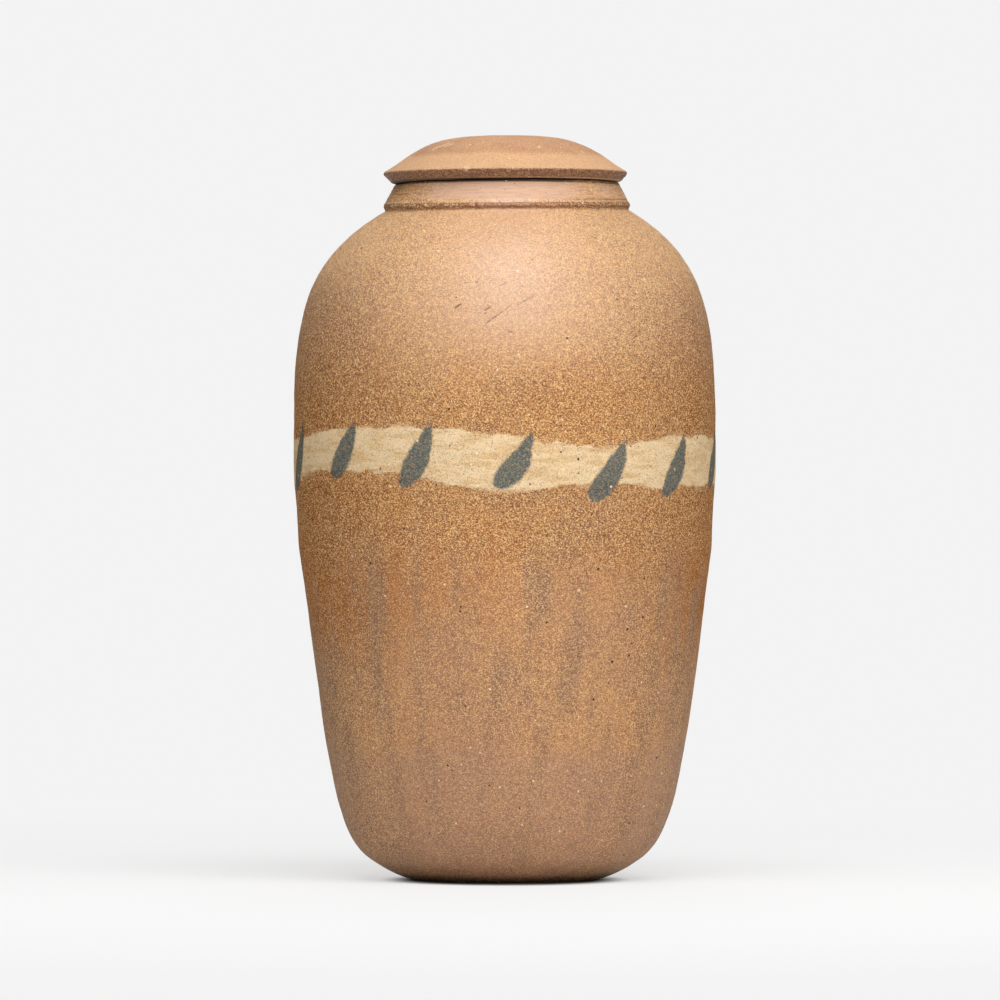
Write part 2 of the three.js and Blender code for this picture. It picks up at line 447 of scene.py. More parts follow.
def pot_inside(outside):
    """The outside moved in along its normal by the wall, which thins evenly from floor to shoulder, plus
    half a finger ridge x (1 - cos(turn of the pitch)). It runs down from the neck to the floor."""
    along = distances(outside)
    share = along / along[-1]
    ridge = FINGER_DEPTH / 2 * (1 - np.cos(FULL_TURN * along / FINGER_PITCH))
    wall = FLOOR_THICKNESS + (SHOULDER_WALL - FLOOR_THICKNESS) * share + ridge
    path = (outside - normals(outside) * wall[:, None])[::-1]
    return paced(path, INSIDE_STEP)


def neck(inside):
    """Up the undercut ridge and the collar with its groove, over the flat rim and down the bore."""
    ridge_top = np.array((RIDGE_RADIUS - RIDGE_LEAN, RIDGE_HEIGHT + RIDGE_BAND))
    cone = np.array((RIM_OUTER, RIM_HEIGHT)) - ridge_top

    def on_cone(height, inset=0.0):
        return ridge_top + cone * (height - ridge_top[1]) / cone[1] - (inset, 0)

    fall = inside[1] - inside[0]
    throat = inside[0] + fall * (BORE_RADIUS - inside[0][0]) / fall[0]
    rim_inner = (BORE_RADIUS + RIM_WEAR, RIM_HEIGHT)
    collar = worn([
        (NECK_ROOT, 0),
        ((RIDGE_RADIUS, RIDGE_HEIGHT), RIDGE_WEAR),
        (ridge_top, RIDGE_WEAR),
        (on_cone(GROOVE_HEIGHT - GROOVE_WIDTH / 2), 0),
        (on_cone(GROOVE_HEIGHT, GROOVE_DEPTH), 0),
        (on_cone(GROOVE_HEIGHT + GROOVE_WIDTH / 2), 0),
        ((RIM_OUTER, RIM_HEIGHT), RIM_WEAR),
        (rim_inner, 0),
    ])
    bore = worn([
        (rim_inner, 0),
        ((BORE_RADIUS, RIM_HEIGHT), RIM_WEAR),
        (throat, THROAT_WEAR),
        (inside[0], 0),
    ])
    return refined(collar, COLLAR_STEP), refined(bore, BORE_STEP)


def dab_field(heights, bearings, centre):
    """How far a point lies inside the nearest dab, in mm: half width x sin(pi t^0.7)^0.8 less the distance
    from the dab's bowed middle line, where t is the share of the way along it. The dabs are alike but for
    seeded changes."""
    random = np.random.default_rng(DAB_SEED)
    best = np.full((len(heights), len(bearings)), -DAB_LENGTH)
    for index in range(DAB_COUNT):
        place, rise, lean, longer, wider = random.uniform(-1, 1, len(DAB_CHANGES)) * DAB_CHANGES
        middle = math.radians(DAB_BEARING) + (index + place) * FULL_TURN / DAB_COUNT
        turn = (bearings - middle + math.pi) % FULL_TURN - math.pi
        across = np.clip(turn * BELLY[0], -DAB_LENGTH, DAB_LENGTH)[None]
        up = heights - centre - rise
        slant = math.radians(DAB_SLANT + lean)
        length = DAB_LENGTH * (1 + longer)
        reach = across * math.sin(slant) + up * math.cos(slant)
        t = np.clip(reach / length + 0.5, 0, 1)
        beside = np.abs(across * math.cos(slant) - up * math.sin(slant) - DAB_BOW * np.sin(math.pi * t))
        beyond = np.abs(reach) - length / 2
        half = DAB_HALF * (1 + wider) * np.sin(math.pi * t ** 0.7) ** 0.8
        best = np.maximum(best, np.minimum(half - beside, -beyond))
    return best


def make_pot():
    """The pot with its collared neck, its tool marks, its decoration and the crumbled edge of its ridge.
    What stands proud of the profile is a sum of waves, ribs and rings, each times the mask of its place."""
    outside = pot_outside()
    inside = pot_inside(outside)
    collar, bore = neck(inside)
    ring = STAND[0] - STAND_WIDTH
    underside = refined(np.array([
        (0, FOOT_HOLLOW_DEPTH),
        (ring - FOOT_HOLLOW_SLANT, FOOT_HOLLOW_DEPTH),
        (ring, 0),
        STAND,
    ]), UNDERSIDE_STEP)
    path = joined(underside, outside, collar, bore, inside, np.array((inside[-1], (0, FLOOR_THICKNESS))))
    first = len(underside) - 1
    side = slice(first, first + len(outside))
    shown = slice(first, first + len(outside) + len(collar) - 1)

    sector = np.radians(np.arange(-180, 180, COLUMN_PRECISION))[:, None]
    steps = np.interp(sector[:, 0], np.radians(COLUMN_BEARINGS), np.radians(COLUMN_STEPS))
    bearings = paced(sector, steps)[:-1, 0]
    along = distances(path)[:, None]
    height = path[:, 1:]
    on_side = np.zeros((len(path), 1))
    on_side[shown] = 1
    skin = on_side * smooth(height, *SKIN_RISE)

    centre = BAND_HEIGHT + waves(BAND_WANDER, [0], bearings)
    half = BAND_HALF + waves(BAND_SWELL, [0], bearings)
    band = np.where(on_side > 0, half - np.abs(height - centre), FAR_OUTSIDE)
    dabs = np.where(on_side > 0, dab_field(height, bearings, centre), FAR_OUTSIDE)
    cut, inside_mark = marked(POT_MARKS, path, side, bearings)

    torn = on_side * within(height, *RIDGE_HEIGHTS)
    groove = on_side * bell(height, GROOVE_HEIGHT, GROOVE_SPREAD)
    scored = smooth(bearings, *SCORED_RIGHT) + SCORED_LEFT_SHARE * smooth(bearings, *SCORED_LEFT)
    scored = np.clip(scored, SCORED_LEAST, 1)
    pressed = smooth(height, *PRESSED_RISE) * bell(bearings, PRESSED_BEARING, PRESSED_SPREAD)
    # Flames on the flanks and at the back, which also stand for painted shade on the left and right flanks
    flames_and_shade = sum(strength * bell(bearings, bearing, spread) for bearing, spread, strength in FLAMES_AND_EDGE_SHADES)
    worn_round = WORN_IN_FRONT + WORN_MORE * smooth(np.abs(bearings - WORN_BEARING), *WORN_RISE)
    turned = FULL_TURN * along
    ribs = sum(np.cos(turned / pitch + bearings * index) for index, pitch in enumerate(RIB_PITCHES))
    rings = np.cos(turned / RING_PITCH + bearings)

    proud = skin * (waves(HAND_WAVES, along, bearings) + waves(HAND_RIPPLES, along, bearings))
    proud += skin * RING_DEPTH * rings * smooth(height, *RING_RISE)
    proud += skin * FLANK_FULLNESS * within(height, *FLANK_FULL)
    proud += on_side * RIB_DEPTH * ribs * within(height, *RIB_HEIGHTS)
    proud += groove * GROOVE_DEPTH * (1 - scored)
    proud += torn * (waves(RIDGE_TEARS, along, bearings) - RIDGE_LOSS)
    proud += skin * SLIP_THICKNESS * smooth(band, -BAND_EDGE, BAND_EDGE)
    proud -= on_side * cut
    return revolved("jar_stoneware", path, bearings, proud, {
        "slip_inside": band,
        "dab_inside": dabs,
        "mark_inside": np.where(on_side > 0, inside_mark, FAR_OUTSIDE),
        "torn_edge": np.maximum(torn, groove * (scored - SCORED_LEAST)),
        "pressed": on_side * pressed,
        "flame_and_edge_shade": on_side * flames_and_shade * within(height, *FLAME_AND_EDGE_SHADE_HEIGHTS),
        "collar_worn": on_side * worn_round * (1 + waves(COLLAR_WEAR, [0], bearings)),
    })


# The lid

def make_lid():
    """The lid with its vault, flange, bevelled edge and crown. The bevel is torn, and its edge is chipped."""
    edge_top = (LID_EDGE_RADIUS, LID_EDGE_TOP)
    rim_line = (RIM_OUTER, LID_SEAT)
    vault_foot = (FLANGE_INNER, CROWN_ROOT[1] - CROWN_WALL)
    share = FLANGE_INNER / CROWN_ROOT[0]
    vault = sweep(
        (0.0, APEX[1] - CROWN_WALL),
        (0.0, CROWN_END[1] * share),
        (CROWN_START[0] - 180, CROWN_START[1] * share),
        vault_foot,
        VAULT_POINTS,
    )
    brim = sweep(edge_top, BRIM_START, BRIM_END, CROWN_ROOT)[BRIM_JOIN:]
    under = worn([
        (vault[-2], 0),
        (vault_foot, VAULT_WEAR),
        ((FLANGE_INNER, FLANGE_FOOT), FLANGE_WEAR),
        ((FLANGE_OUTER, FLANGE_FOOT), FLANGE_WEAR),
        ((FLANGE_OUTER, LID_SEAT), 0),
        (rim_line, 0),
    ])
    bevel = worn([
        (rim_line, 0),
        ((UNDERSIDE_RADIUS, LID_SEAT), UNDERSIDE_WEAR),
        ((LID_EDGE_RADIUS, LID_EDGE_FOOT), LID_EDGE_WEAR),
        (edge_top, LID_EDGE_WEAR),
        (brim[0], 0),
    ])
    bevel = refined(bevel, BEVEL_STEP)
    top = paced(joined(brim, sweep(CROWN_ROOT, CROWN_START, CROWN_END, APEX)), CROWN_STEP)
    path = joined(paced(vault[:-1], VAULT_STEP), refined(under, FLANGE_STEP), bevel, top)
    outer = slice(len(path) - len(top), len(path))

    bearings = np.linspace(-math.pi, math.pi, LID_COLUMNS, endpoint=False)
    along = distances(path)
    height = path[:, 1:]
    radius = path[:, :1]
    beyond_seat = np.zeros((len(path), 1))
    beyond_seat[len(path) - len(top) - len(bevel) + 1:] = 1
    torn = beyond_seat * smooth(radius, *BEVEL_TORN_RADII) * smooth(height, *BEVEL_TORN_HEIGHTS)
    edge = beyond_seat * within(height, *EDGE_HEIGHTS)
    cut, inside_mark = marked(LID_MARKS, path, outer, bearings)
    chipped = waves(LID_CHIPS, along, bearings)
    chipped += CHIP_SIZE * bell(np.degrees(bearings), CHIP_BEARING, CHIP_SPREAD)

    proud = beyond_seat * smooth(radius, *LID_RISE) * waves(LID_WAVES, along, bearings)
    proud += torn * waves(BEVEL_TEARS, along, bearings)
    proud -= edge * CHIP_DEPTH * smooth(chipped, *CHIP_CUT)
    proud -= beyond_seat * cut
    return revolved("lid_stoneware_cap", path, bearings, proud, {
        "mark_inside": np.where(beyond_seat > 0, inside_mark, FAR_OUTSIDE),
        "torn_edge": torn,
        "chip": edge * smooth(chipped, *CHIP_BARE),
    })


# Materials

def linear(code):
    """An sRGB hex colour as linear RGB with alpha 1: ((c + 0.055) / 1.055)^2.4, or c / 12.92 when dark."""
    parts = [int(code[i:i + 2], 16) / 255 for i in (1, 3, 5)]
    return [c / 12.92 if c <= 0.04045 else ((c + 0.055) / 1.055) ** 2.4 for c in parts] + [1.0]


def add(tree, kind, inputs=None, **settings):
    """Adds a node. Settings are its properties. Inputs go by name, or by place, among the sockets in use,
    and each is a value, a socket to link, or a node whose first output in use is linked."""
    node = tree.nodes.new("ShaderNode" + kind)
    for name, value in settings.items():
        setattr(node, name, value)
    sockets = [socket for socket in node.inputs if socket.enabled]
    by_name = {socket.name: socket for socket in reversed(sockets)}
    for key, value in (inputs or {}).items():
        socket = by_name[key] if isinstance(key, str) else sockets[key]
        if isinstance(value, bpy.types.Node):
            value = next(output for output in value.outputs if output.enabled)
        if isinstance(value, bpy.types.NodeSocket):
            tree.links.new(value, socket)
        else:
            socket.default_value = value
    return node


def fresh_material(name):
    """A material with an empty node tree, and that tree."""
    material = bpy.data.materials.new(name)
    material.use_nodes = True
    material.node_tree.nodes.clear()
    return material, material.node_tree


def per_mm(size):
    """The scale at which a pattern's cells are this many mm wide."""
    return 1 / (size * MM)


# Clay colours, fired without glaze
CLAY_GOLD = linear("#c98e55")
CLAY_TAN = linear("#ac7750")
CLAY_OLIVE = linear("#a88558")
CLAY_ROSE = linear("#b47a5c")
CLAY_RUST = linear("#b06c3a")
# Darker tone of the flames: flashed clay, and also painted shade on the left and right flanks
CLAY_SINGED_AND_EDGE_SHADE = linear("#9a5c2f")
CLAY_DARK = linear("#6f4428")
CLAY_FOOT = linear("#a37b63")
CLAY_STREAK = linear("#8e6a54")
# Paler shoulder tone: the clay's own, and partly a painted highlight
CLAY_SHOULDER_AND_HIGHLIGHT = linear("#d59f69")
CLAY_PRESSED = linear("#c2936c")
CLAY_COLLAR = linear("#c29f88")
COLLAR_GOLD = linear("#cd9762")
COLLAR_BROWN = linear("#935f3a")
RIDGE_TORN = linear("#804c27")
# Dark of the lid's torn bevel: torn clay, and partly painted shade under the edge
BEVEL_TORN_AND_SHADE = linear("#784725")
CLAY_BARE = linear("#5b3d28")
# Near-black painted shade: in the gap between lid and rim, and along the foot where it meets the floor
CLAY_PAINTED_SHADE = linear("#1c120c")
GROG_PALE = linear("#f3c689")
GROG_CREAM = linear("#f2ddb6")
GROG_RUST = linear("#8a5a38")
PIT_DARK = linear("#40291a")
CROWN_CLAY = linear("#c08c62")
CROWN_ROSE = linear("#b07a54")
BRIM_CLAY = linear("#d4a275")
BURR_PALE = linear("#e8cba4")

# Decoration colours
SLIP_CREAM = linear("#e0caa4")
SLIP_THIN = linear("#cfb186")
BLUE_GREEN = linear("#2c444a")
BLUE_THIN = linear("#4b5b5c")

# Real sizes of the clay's texture, in mm, and which share of the cells of that size holds a grain or pit
GRIT_SIZE = 0.4
GROG_SIZE = 1.3
GROG_PALE_SHARE = 0.34
GROG_RUSTY_SHARE = 0.1
PIT_SIZE = 2.6
PIT_SHARE = 0.035
SPARK_SHARE = 0.06
LID_MOTTLE_SIZE = 15.0

# Depth of the clay's relief, and how far heights wander at the edges of looks on the pot and the lid, in mm,
# and the share of the relief that the turned lid shows
RELIEF = 0.7
POT_WANDER = 26.0
LID_WANDER = 3.2
LID_RELIEF_STRENGTH = 0.8

# Patterns in the pot's clay: name, size in mm, how many times finer it is up the pot than round it, detail
# and roughness. Runs are eight times as long as wide, the rib dragged level lines, and so did the brush.
POT_PATTERNS = (
    ("mottle", 36.0, 1.0, 4.0, 0.6),
    ("cloud", 75.0, 1.0, 3.0, 0.55),
    ("fleck", 5.5, 1.0, 3.0, 0.7),
    ("run", 18.0, 0.12, 3.0, 0.6),
    ("crumb", 4.5, 1.0, 3.0, 0.7),
    ("drag", 11.0, 16.0, 4.0, 0.7),
    ("bristle", 16.0, 5.0, 4.0, 0.65),
    ("grit", GRIT_SIZE, 1.0, 2.0, 0.6),
)
POT_FIELDS = (
    "slip_inside", "dab_inside", "mark_inside", "torn_edge", "pressed", "flame_and_edge_shade", "collar_worn",
)
LID_FIELDS = ("mark_inside", "torn_edge", "chip")


def grogged(tree, where, tone, bite):
    """Clay full of crushed fired grit, seen bare. Each cell at grit size is a grain of its own tone: the low
    ones are hollows, the high ones stand out pale. Pale and rusty grog are the middles of some cells at grog
    size, pits and pale sparks are the middles of a few larger cells. Bite, from 0 to 1, says how far the
    surface is torn open and not pressed smooth. Gives the colour, and the relief from 0 in a pit to 1 on a
    grain."""
    grains = add(tree, "TexVoronoi", {"Vector": where, "Scale": per_mm(GRIT_SIZE)})
    grit = add(tree, "SeparateColor", {"Color": grains.outputs["Color"]}).outputs["Red"]
    hollow = add(tree, "MapRange", {"Value": grit, "From Min": 0.34, "From Max": 0.06, "To Max": 0.95})
    raised = add(tree, "MapRange", {"Value": grit, "From Min": 0.58, "From Max": 0.9})

    grog = add(tree, "TexVoronoi", {"Vector": where, "Scale": per_mm(GROG_SIZE)})
    kind = add(tree, "SeparateColor", {"Color": grog.outputs["Color"]}).outputs["Red"]
    grain = add(tree, "MapRange", {
        "Value": grog.outputs["Distance"], "From Min": 0.40, "From Max": 0.22,
    }, interpolation_type="SMOOTHSTEP")
    pale = add(tree, "Math", {0: kind, 1: 1 - GROG_PALE_SHARE}, operation="GREATER_THAN")
    pale = add(tree, "Math", {0: pale, 1: grain}, operation="MULTIPLY")
    rusty = add(tree, "Math", {0: kind, 1: GROG_RUSTY_SHARE}, operation="LESS_THAN")
    rusty = add(tree, "Math", {0: rusty, 1: grain}, operation="MULTIPLY")

    cells = add(tree, "TexVoronoi", {"Vector": where, "Scale": per_mm(PIT_SIZE)})
    chosen = add(tree, "SeparateColor", {"Color": cells.outputs["Color"]})
    narrow = add(tree, "Math", {0: chosen.outputs["Blue"], 1: 1.1, 2: 0.8}, operation="MULTIPLY_ADD")
    narrowed = add(tree, "Math", {0: cells.outputs["Distance"], 1: narrow}, operation="MULTIPLY")
    middle = add(tree, "MapRange", {
        "Value": narrowed, "From Min": 0.26, "From Max": 0.15,
    }, interpolation_type="SMOOTHSTEP")
    spark = add(tree, "Math", {0: chosen.outputs["Green"], 1: SPARK_SHARE}, operation="LESS_THAN")
    spark = add(tree, "Math", {0: spark, 1: middle}, operation="MULTIPLY")
    pit = add(tree, "Math", {0: chosen.outputs["Green"], 1: 1 - PIT_SHARE}, operation="GREATER_THAN")
    pit = add(tree, "Math", {0: pit, 1: middle}, operation="MULTIPLY")

    # Colours laid over the clay's tone in turn, each as strongly as its grains times a share
    half_bite = add(tree, "Math", {0: bite, 1: 0.5}, operation="MULTIPLY")
    color = tone
    for found, share, grain_color in (
        (hollow, bite, CLAY_DARK),
        (raised, bite, GROG_PALE),
        (pale, half_bite, GROG_PALE),
        (rusty, 0.4, GROG_RUST),
        (spark, 0.8, GROG_CREAM),
        (pit, 1.0, PIT_DARK),
    ):
        cover = add(tree, "Math", {0: found, 1: share}, operation="MULTIPLY")
        color = add(tree, "Mix", {"Factor": cover, "A": color, "B": grain_color}, data_type="RGBA")
    relief = 0.5
    for part, weight in ((grains, -0.5), (grit, 0.2), (pale, 0.25), (pit, -0.7)):
        relief = add(tree, "Math", {0: part, 1: weight, 2: relief}, operation="MULTIPLY_ADD")
    return color, relief


def body_stoneware():
    """Grogged stoneware, thrown, wiped with a rib and fired bare: a matt golden skin, more open below the
    shoulder and greyer and smoother near the foot, which gives a dry, speckled look with a soft sheen."""
    material, tree = fresh_material("thrown_grogged_stoneware")
    where = add(tree, "TexCoord").outputs["Object"]
    level = add(tree, "SeparateXYZ", {"Vector": where}).outputs["Z"]
    field = {name: add(tree, "Attribute", attribute_name=name).outputs["Fac"] for name in POT_FIELDS}
    pattern = {}
    for name, size, finer, detail, roughness in POT_PATTERNS:
        drawn = add(tree, "Mapping", {"Vector": where, "Scale": (1.0, 1.0, finer)})
        pattern[name] = add(tree, "TexNoise", {
            "Vector": drawn, "Scale": per_mm(size), "Detail": detail, "Roughness": roughness,
        })
    mottle, crumb = pattern["mottle"], pattern["crumb"]
    bristle, grit = pattern["bristle"], pattern["grit"]

    # What the masks are taken from: a height that wanders, broken flames, which also paint shade on the
    # flanks, and runs, and how far a point is inside the slip and inside the pigment, whose edges are ragged
    # along the brush and between the grains
    wander = add(tree, "Math", {0: mottle, 1: POT_WANDER * MM, 2: level}, operation="MULTIPLY_ADD")
    wander = add(tree, "Math", {0: wander, 1: POT_WANDER / 2 * MM}, operation="SUBTRACT")
    flames_and_shade = add(tree, "Math", {0: mottle, 1: 0.8, 2: field["flame_and_edge_shade"]}, operation="MULTIPLY_ADD")
    run = add(tree, "Math", {0: crumb, 1: 0.35, 2: pattern["run"]}, operation="MULTIPLY_ADD")
    in_slip, in_dab = field["slip_inside"], field["dab_inside"]
    for part, slip_weight, dab_weight in ((bristle, 9.0, 2.6), (crumb, 5.0, 3.0), (grit, 3.0, 3.4)):
        in_slip = add(tree, "Math", {0: part, 1: slip_weight, 2: in_slip}, operation="MULTIPLY_ADD")
        in_dab = add(tree, "Math", {0: part, 1: dab_weight, 2: in_dab}, operation="MULTIPLY_ADD")

    # Masks: name, what it is taken from, where it starts, where it is full, and how strong it then is
    mask = {}
    for name, source, start, full, strength in (
        ("patch", mottle, 0.36, 0.64, 1.0),
        ("foot", wander, 84 * MM, 58 * MM, 0.85),
        ("shoulder", wander, 222 * MM, 285 * MM, 1.0),
        ("below_belly", level, 178 * MM, 140 * MM, 1.0),
        ("iron", pattern["cloud"], 0.46, 0.66, 0.6),
        ("iron_low", level, 95 * MM, 170 * MM, 1.0),
        ("iron_high", level, 265 * MM, 225 * MM, 1.0),
        # Flames, and painted shade on the left and right flanks
        ("licked_and_edge_shade", flames_and_shade, 0.45, 1.5, 1.1),
        ("olive", pattern["fleck"], 0.47, 0.34, 0.2),
        ("rose", pattern["fleck"], 0.54, 0.66, 0.35),
        ("run", run, 0.62, 0.82, 0.9),
        ("gold", pattern["drag"], 0.46, 0.53, 0.8),
        ("brown", pattern["drag"], 0.49, 0.40, 0.8),
        # Painted shade on the rim, in the gap under the lid
        ("rim_gap_shade", level, 335.5 * MM, 336.2 * MM, 0.85),
        # Painted shade along the foot, where it meets the floor
        ("foot_contact_shade", level, 4.5 * MM, 0.8 * MM, 0.9),
        ("slip", in_slip, 7.4, 9.7, 0.94),
        ("thick", bristle, 0.38, 0.58, 1.0),
        ("pigment", in_dab, 4.0, 5.4, 0.95),
        ("thin", grit, 0.40, 0.62, 1.0),
        ("scored", field["mark_inside"], -0.3, 0.3, 1.0),
    ):
        mask[name] = add(tree, "MapRange", {
            "Value": source, "From Min": start, "From Max": full, "To Max": strength,
        }, interpolation_type="SMOOTHSTEP")
    collar = add(tree, "MapRange", {"Value": level, "From Min": 326.8 * MM, "From Max": 328.4 * MM})
    shoulder = add(tree, "Math", {0: mask["shoulder"], 1: 0.85}, operation="MULTIPLY")
    low = add(tree, "Math", {0: mask["below_belly"], 1: 0.5}, operation="MULTIPLY")
    low = add(tree, "Math", {0: low, 1: mask["foot"]}, operation="MAXIMUM")
    iron = add(tree, "Math", {0: mask["iron"], 1: mask["iron_low"]}, operation="MULTIPLY")
    iron = add(tree, "Math", {0: iron, 1: mask["iron_high"]}, operation="MULTIPLY")
    runs = add(tree, "Math", {0: mask["foot"], 1: -0.45, 2: mask["below_belly"]}, operation="MULTIPLY_ADD")
    runs = add(tree, "Math", {0: mask["run"], 1: runs}, operation="MULTIPLY")

    # Colours that vary by themselves: the collar is rosy in front and elsewhere lined with gold and brown by
    # the rib, the slip is thick and thin with the brush, and the pigment sinks between the grains
    ribbed = CLAY_COLLAR
    for lines, color in ((mask["gold"], COLLAR_GOLD), (mask["brown"], COLLAR_BROWN)):
        lines = add(tree, "Math", {0: lines, 1: field["collar_worn"]}, operation="MULTIPLY", use_clamp=True)
        ribbed = add(tree, "Mix", {"Factor": lines, "A": ribbed, "B": color}, data_type="RGBA")
    cream = add(tree, "Mix", {"Factor": mask["thick"], "A": SLIP_THIN, "B": SLIP_CREAM}, data_type="RGBA")
    wash = add(tree, "Mix", {"Factor": mask["thin"], "A": BLUE_GREEN, "B": BLUE_THIN}, data_type="RGBA")

    # Laid over each other: two mottled tones, paler on the shoulder, partly as a painted highlight, and
    # greyer at the foot, clouds of iron, the flames, which also paint shade on the left and right flanks,
    # olive and rosy flecks, grey-brown runs that fade at the foot, the collar, near-black painted shade in
    # the gap under the lid and along the foot where it meets the floor, the torn ridge, the slip and its
    # pigment
    tone = CLAY_TAN
    for cover, color in (
        (mask["patch"], CLAY_GOLD),
        (shoulder, CLAY_SHOULDER_AND_HIGHLIGHT),
        (field["pressed"], CLAY_PRESSED),
        (low, CLAY_FOOT),
        (iron, CLAY_RUST),
        (mask["licked_and_edge_shade"], CLAY_SINGED_AND_EDGE_SHADE),
        (mask["olive"], CLAY_OLIVE),
        (mask["rose"], CLAY_ROSE),
        (runs, CLAY_STREAK),
        (collar, ribbed),
        (mask["rim_gap_shade"], CLAY_PAINTED_SHADE),
        (mask["foot_contact_shade"], CLAY_PAINTED_SHADE),
        (field["torn_edge"], RIDGE_TORN),
        (mask["slip"], cream),
        (mask["pigment"], wash),
    ):
        tone = add(tree, "Mix", {"Factor": cover, "A": tone, "B": color}, data_type="RGBA")

    # How open the surface is: closed where it was pressed, on the collar and near the foot
    bite = 1.0
    for part, weight in (
        (field["pressed"], -0.68),
        (mask["licked_and_edge_shade"], -0.2),
        (mask["below_belly"], -0.5),
        (mask["foot"], -0.2),
        (collar, -0.6),
        (field["collar_worn"], 0.3),
        (field["torn_edge"], -0.2),
    ):
        bite = add(tree, "Math", {0: part, 1: weight, 2: bite}, operation="MULTIPLY_ADD")
    bite.use_clamp = True
    coated = add(tree, "Mix", {"Factor": mask["slip"], "A": bite, "B": 0.45})
    coated = add(tree, "Mix", {"Factor": mask["pigment"], "A": coated, "B": 0.25})
    color, relief = grogged(tree, where, tone, coated)
    color = add(tree, "Mix", {"Factor": mask["scored"], "A": color, "B": CLAY_BARE}, data_type="RGBA")
    relief = add(tree, "Math", {0: mask["scored"], 1: -0.8, 2: relief}, operation="MULTIPLY_ADD")

    strength = add(tree, "MapRange", {"Value": coated, "From Min": 0.3, "To Min": 0.1})
    bump = add(tree, "Bump", {"Strength": strength, "Distance": RELIEF * MM, "Height": relief})
    rough = add(tree, "MapRange", {"Value": bite, "From Min": 0.3, "To Min": 0.5, "To Max": 0.8})
    wiped = add(tree, "Math", {0: mask["shoulder"], 1: collar}, operation="SUBTRACT", use_clamp=True)
    shine = 0.16
    for part, weight in ((wiped, 0.64), (mask["licked_and_edge_shade"], -0.15), (field["torn_edge"], -0.3)):
        shine = add(tree, "Math", {0: part, 1: weight, 2: shine}, operation="MULTIPLY_ADD")
    shine.use_clamp = True
    surface = add(tree, "BsdfPrincipled", {
        "Base Color": color, "Roughness": rough, "IOR": 1.7, "Specular IOR Level": shine, "Normal": bump,
    })
    add(tree, "OutputMaterial", {"Surface": surface})
    return material


def lid_stoneware():
    """Grogged stoneware, turned smooth on top with a metal tool and left torn under its edge, which gives a
    close, rosy crown that shades into a paler brim, and a gritty bevel with pale chips, dark partly as
    painted shade under the edge, with a band of near-black painted shade where the lid sits on the rim."""
    material, tree = fresh_material("turned_grogged_stoneware")
    where = add(tree, "TexCoord").outputs["Object"]
    level = add(tree, "SeparateXYZ", {"Vector": where}).outputs["Z"]
    field = {name: add(tree, "Attribute", attribute_name=name).outputs["Fac"] for name in LID_FIELDS}
    mottle = add(tree, "TexNoise", {
        "Vector": where, "Scale": per_mm(LID_MOTTLE_SIZE), "Detail": 4.0, "Roughness": 0.6,
    })
    wander = add(tree, "Math", {0: mottle, 1: LID_WANDER * MM, 2: level}, operation="MULTIPLY_ADD")

    # Masks: name, what it is taken from, where it starts, where it is full, and how strong it then is
    mask = {}
    for name, source, start, full, strength in (
        ("crown", wander, 350.2 * MM, 353.0 * MM, 1.0),
        ("rosy", mottle, 0.42, 0.62, 0.55),
        # Painted shade in the gap where the lid sits on the rim
        ("seat", level, 338.0 * MM, 337.6 * MM, 0.9),
        ("above_flange", level, 334.8 * MM, 336.8 * MM, 1.0),
        ("scraped", field["mark_inside"], -0.7, 0.3, 0.6),
    ):
        mask[name] = add(tree, "MapRange", {
            "Value": source, "From Min": start, "From Max": full, "To Max": strength,
        }, interpolation_type="SMOOTHSTEP")
    seat = add(tree, "Math", {0: mask["seat"], 1: mask["above_flange"]}, operation="MULTIPLY")

    top = add(tree, "Mix", {"Factor": mask["rosy"], "A": CROWN_CLAY, "B": CROWN_ROSE}, data_type="RGBA")
    tone = BRIM_CLAY
    # Over the brim: the crown, the torn bevel, dark partly as painted shade, and the seat's painted shade
    for cover, color in ((mask["crown"], top), (field["torn_edge"], BEVEL_TORN_AND_SHADE), (seat, CLAY_PAINTED_SHADE)):
        tone = add(tree, "Mix", {"Factor": cover, "A": tone, "B": color}, data_type="RGBA")
    bite = add(tree, "Math", {0: field["torn_edge"], 1: 0.1, 2: 0.33}, operation="MULTIPLY_ADD")
    bite = add(tree, "Math", {0: seat, 1: -0.6, 2: bite}, operation="MULTIPLY_ADD", use_clamp=True)
    color, relief = grogged(tree, where, tone, bite)
    chipped = add(tree, "Math", {0: field["chip"], 1: 0.6}, operation="MULTIPLY")
    for cover in (chipped, mask["scraped"]):
        color = add(tree, "Mix", {"Factor": cover, "A": color, "B": BURR_PALE}, data_type="RGBA")
    bump = add(tree, "Bump", {"Strength": LID_RELIEF_STRENGTH, "Distance": RELIEF * MM, "Height": relief})
    rough = add(tree, "MapRange", {"Value": bite, "From Min": 0.3, "To Min": 0.56, "To Max": 0.72})
    surface = add(tree, "BsdfPrincipled", {
        "Base Color": color, "Roughness": rough, "IOR": 1.6, "Specular IOR Level": 0.75, "Normal": bump,
    })
    add(tree, "OutputMaterial", {"Surface": surface})
    return material


# Studio, in mm: the jar stands on a pale floor that runs out into a pale background
BACKGROUND = linear("#f3f3f3")
FLOOR_HALF = 9000.0
FLOOR_NEAR = 250.0
FLOOR_FAR = 950.0
FLOOR_OWN_LIGHT = 0.65
FLOOR_SHADED = linear("#909090")
FLOOR_BOUNCE = linear("#d9d9d9")
AMBIENT = linear("#707070")

# Painted shadow on the floor under the foot, where the floor's own light fades out: where it is full and
# where it ends, how much narrower it is than deep, and how far it lies in front
FOOT_SHADE = (50.0, 72.0)
FOOT_SHADE_NARROWER = 1.15
FOOT_SHADE_FORWARD = 10.0

